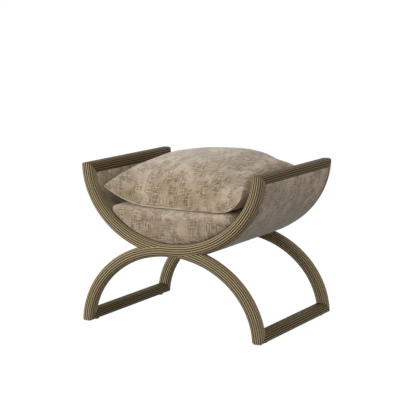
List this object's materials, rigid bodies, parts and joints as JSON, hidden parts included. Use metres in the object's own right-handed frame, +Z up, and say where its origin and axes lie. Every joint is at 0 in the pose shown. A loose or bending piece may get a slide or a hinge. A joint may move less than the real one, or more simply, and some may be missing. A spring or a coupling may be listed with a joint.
{
  "type": "vanity stool",
  "caption": "Vanity stool with crossed, reeded half-ellipse frames, an upholstered cradle, a seat cushion and a loose throw pillow.",
  "frame": {"origin": "on the floor, under the middle of the stool", "axes": "+X towards the right arm as seen from the front, +Y to the back, +Z up; the front faces -Y"},
  "size_m": [0.5984, 0.458, 0.5013],
  "materials": {
    "reeding": "pencil-reed wrap in a dark antiqued gold-brown glaze, satin",
    "core_timber": "plain sawn hardwood",
    "plywood": "bent plywood, raw",
    "chenille": "beige chenille with soft gold-brown streaks, matt",
    "padding": "upholstery wadding",
    "fastener_steel": "zinc-plated",
    "glide_nylon": "moulded nylon"
  },
  "bodies": {
    "stool": {"front_s_rib_core": "core_timber", "back_s_rib_core": "core_timber", "front_left_arm_core": "core_timber", "back_right_arm_core": "core_timber", "front_right_leg_core": "core_timber", "back_left_leg_core": "core_timber", "left_stretcher_core": "core_timber", "right_stretcher_core": "core_timber", "left_arm_rail_core": "core_timber", "right_arm_rail_core": "core_timber", "front_left_arm_scarf_dowel": "core_timber", "back_right_arm_scarf_dowel": "core_timber", "front_right_leg_scarf_dowel": "core_timber", "back_left_leg_scarf_dowel": "core_timber", "front_s_rib_reeding": "reeding", "back_s_rib_reeding": "reeding", "front_left_arm_reeding": "reeding", "back_right_arm_reeding": "reeding", "front_right_leg_reeding": "reeding", "back_left_leg_reeding": "reeding", "left_stretcher_reeding": "reeding", "right_stretcher_reeding": "reeding", "left_arm_rail_reeding": "reeding", "right_arm_rail_reeding": "reeding", "front_left_arm_scarf_screw": "fastener_steel", "back_right_arm_scarf_screw": "fastener_steel", "front_right_leg_scarf_screw": "fastener_steel", "back_left_leg_scarf_screw": "fastener_steel", "front_left_foot_corner_screw": "fastener_steel", "front_right_foot_corner_screw": "fastener_steel", "front_left_arm_corner_screw": "fastener_steel", "front_right_arm_corner_screw": "fastener_steel", "back_left_foot_corner_screw": "fastener_steel", "back_right_foot_corner_screw": "fastener_steel", "back_left_arm_corner_screw": "fastener_steel", "back_right_arm_corner_screw": "fastener_steel", "front_left_lower_rib_screw": "fastener_steel", "front_left_upper_rib_screw": "fastener_steel", "front_right_lower_rib_screw": "fastener_steel", "front_right_upper_rib_screw": "fastener_steel", "back_left_lower_rib_screw": "fastener_steel", "back_left_upper_rib_screw": "fastener_steel", "back_right_lower_rib_screw": "fastener_steel", "back_right_upper_rib_screw": "fastener_steel", "front_left_glide": "glide_nylon", "front_right_glide": "glide_nylon", "back_left_glide": "glide_nylon", "back_right_glide": "glide_nylon", "seat_shell": "plywood", "front_seat_rib": "plywood", "back_seat_rib": "plywood", "seat_padding": "padding", "outer_cover": "chenille", "inner_cover": "chenille", "seat_cushion": "chenille"},
    "pillow": {"throw_pillow": "chenille"}
  },
  "joints": [
    {"name": "pillow_lift", "type": "slide", "parent": "stool", "child": "pillow", "axis": [0, 0, 1], "range_m": [0, 0.15]}
  ]
}
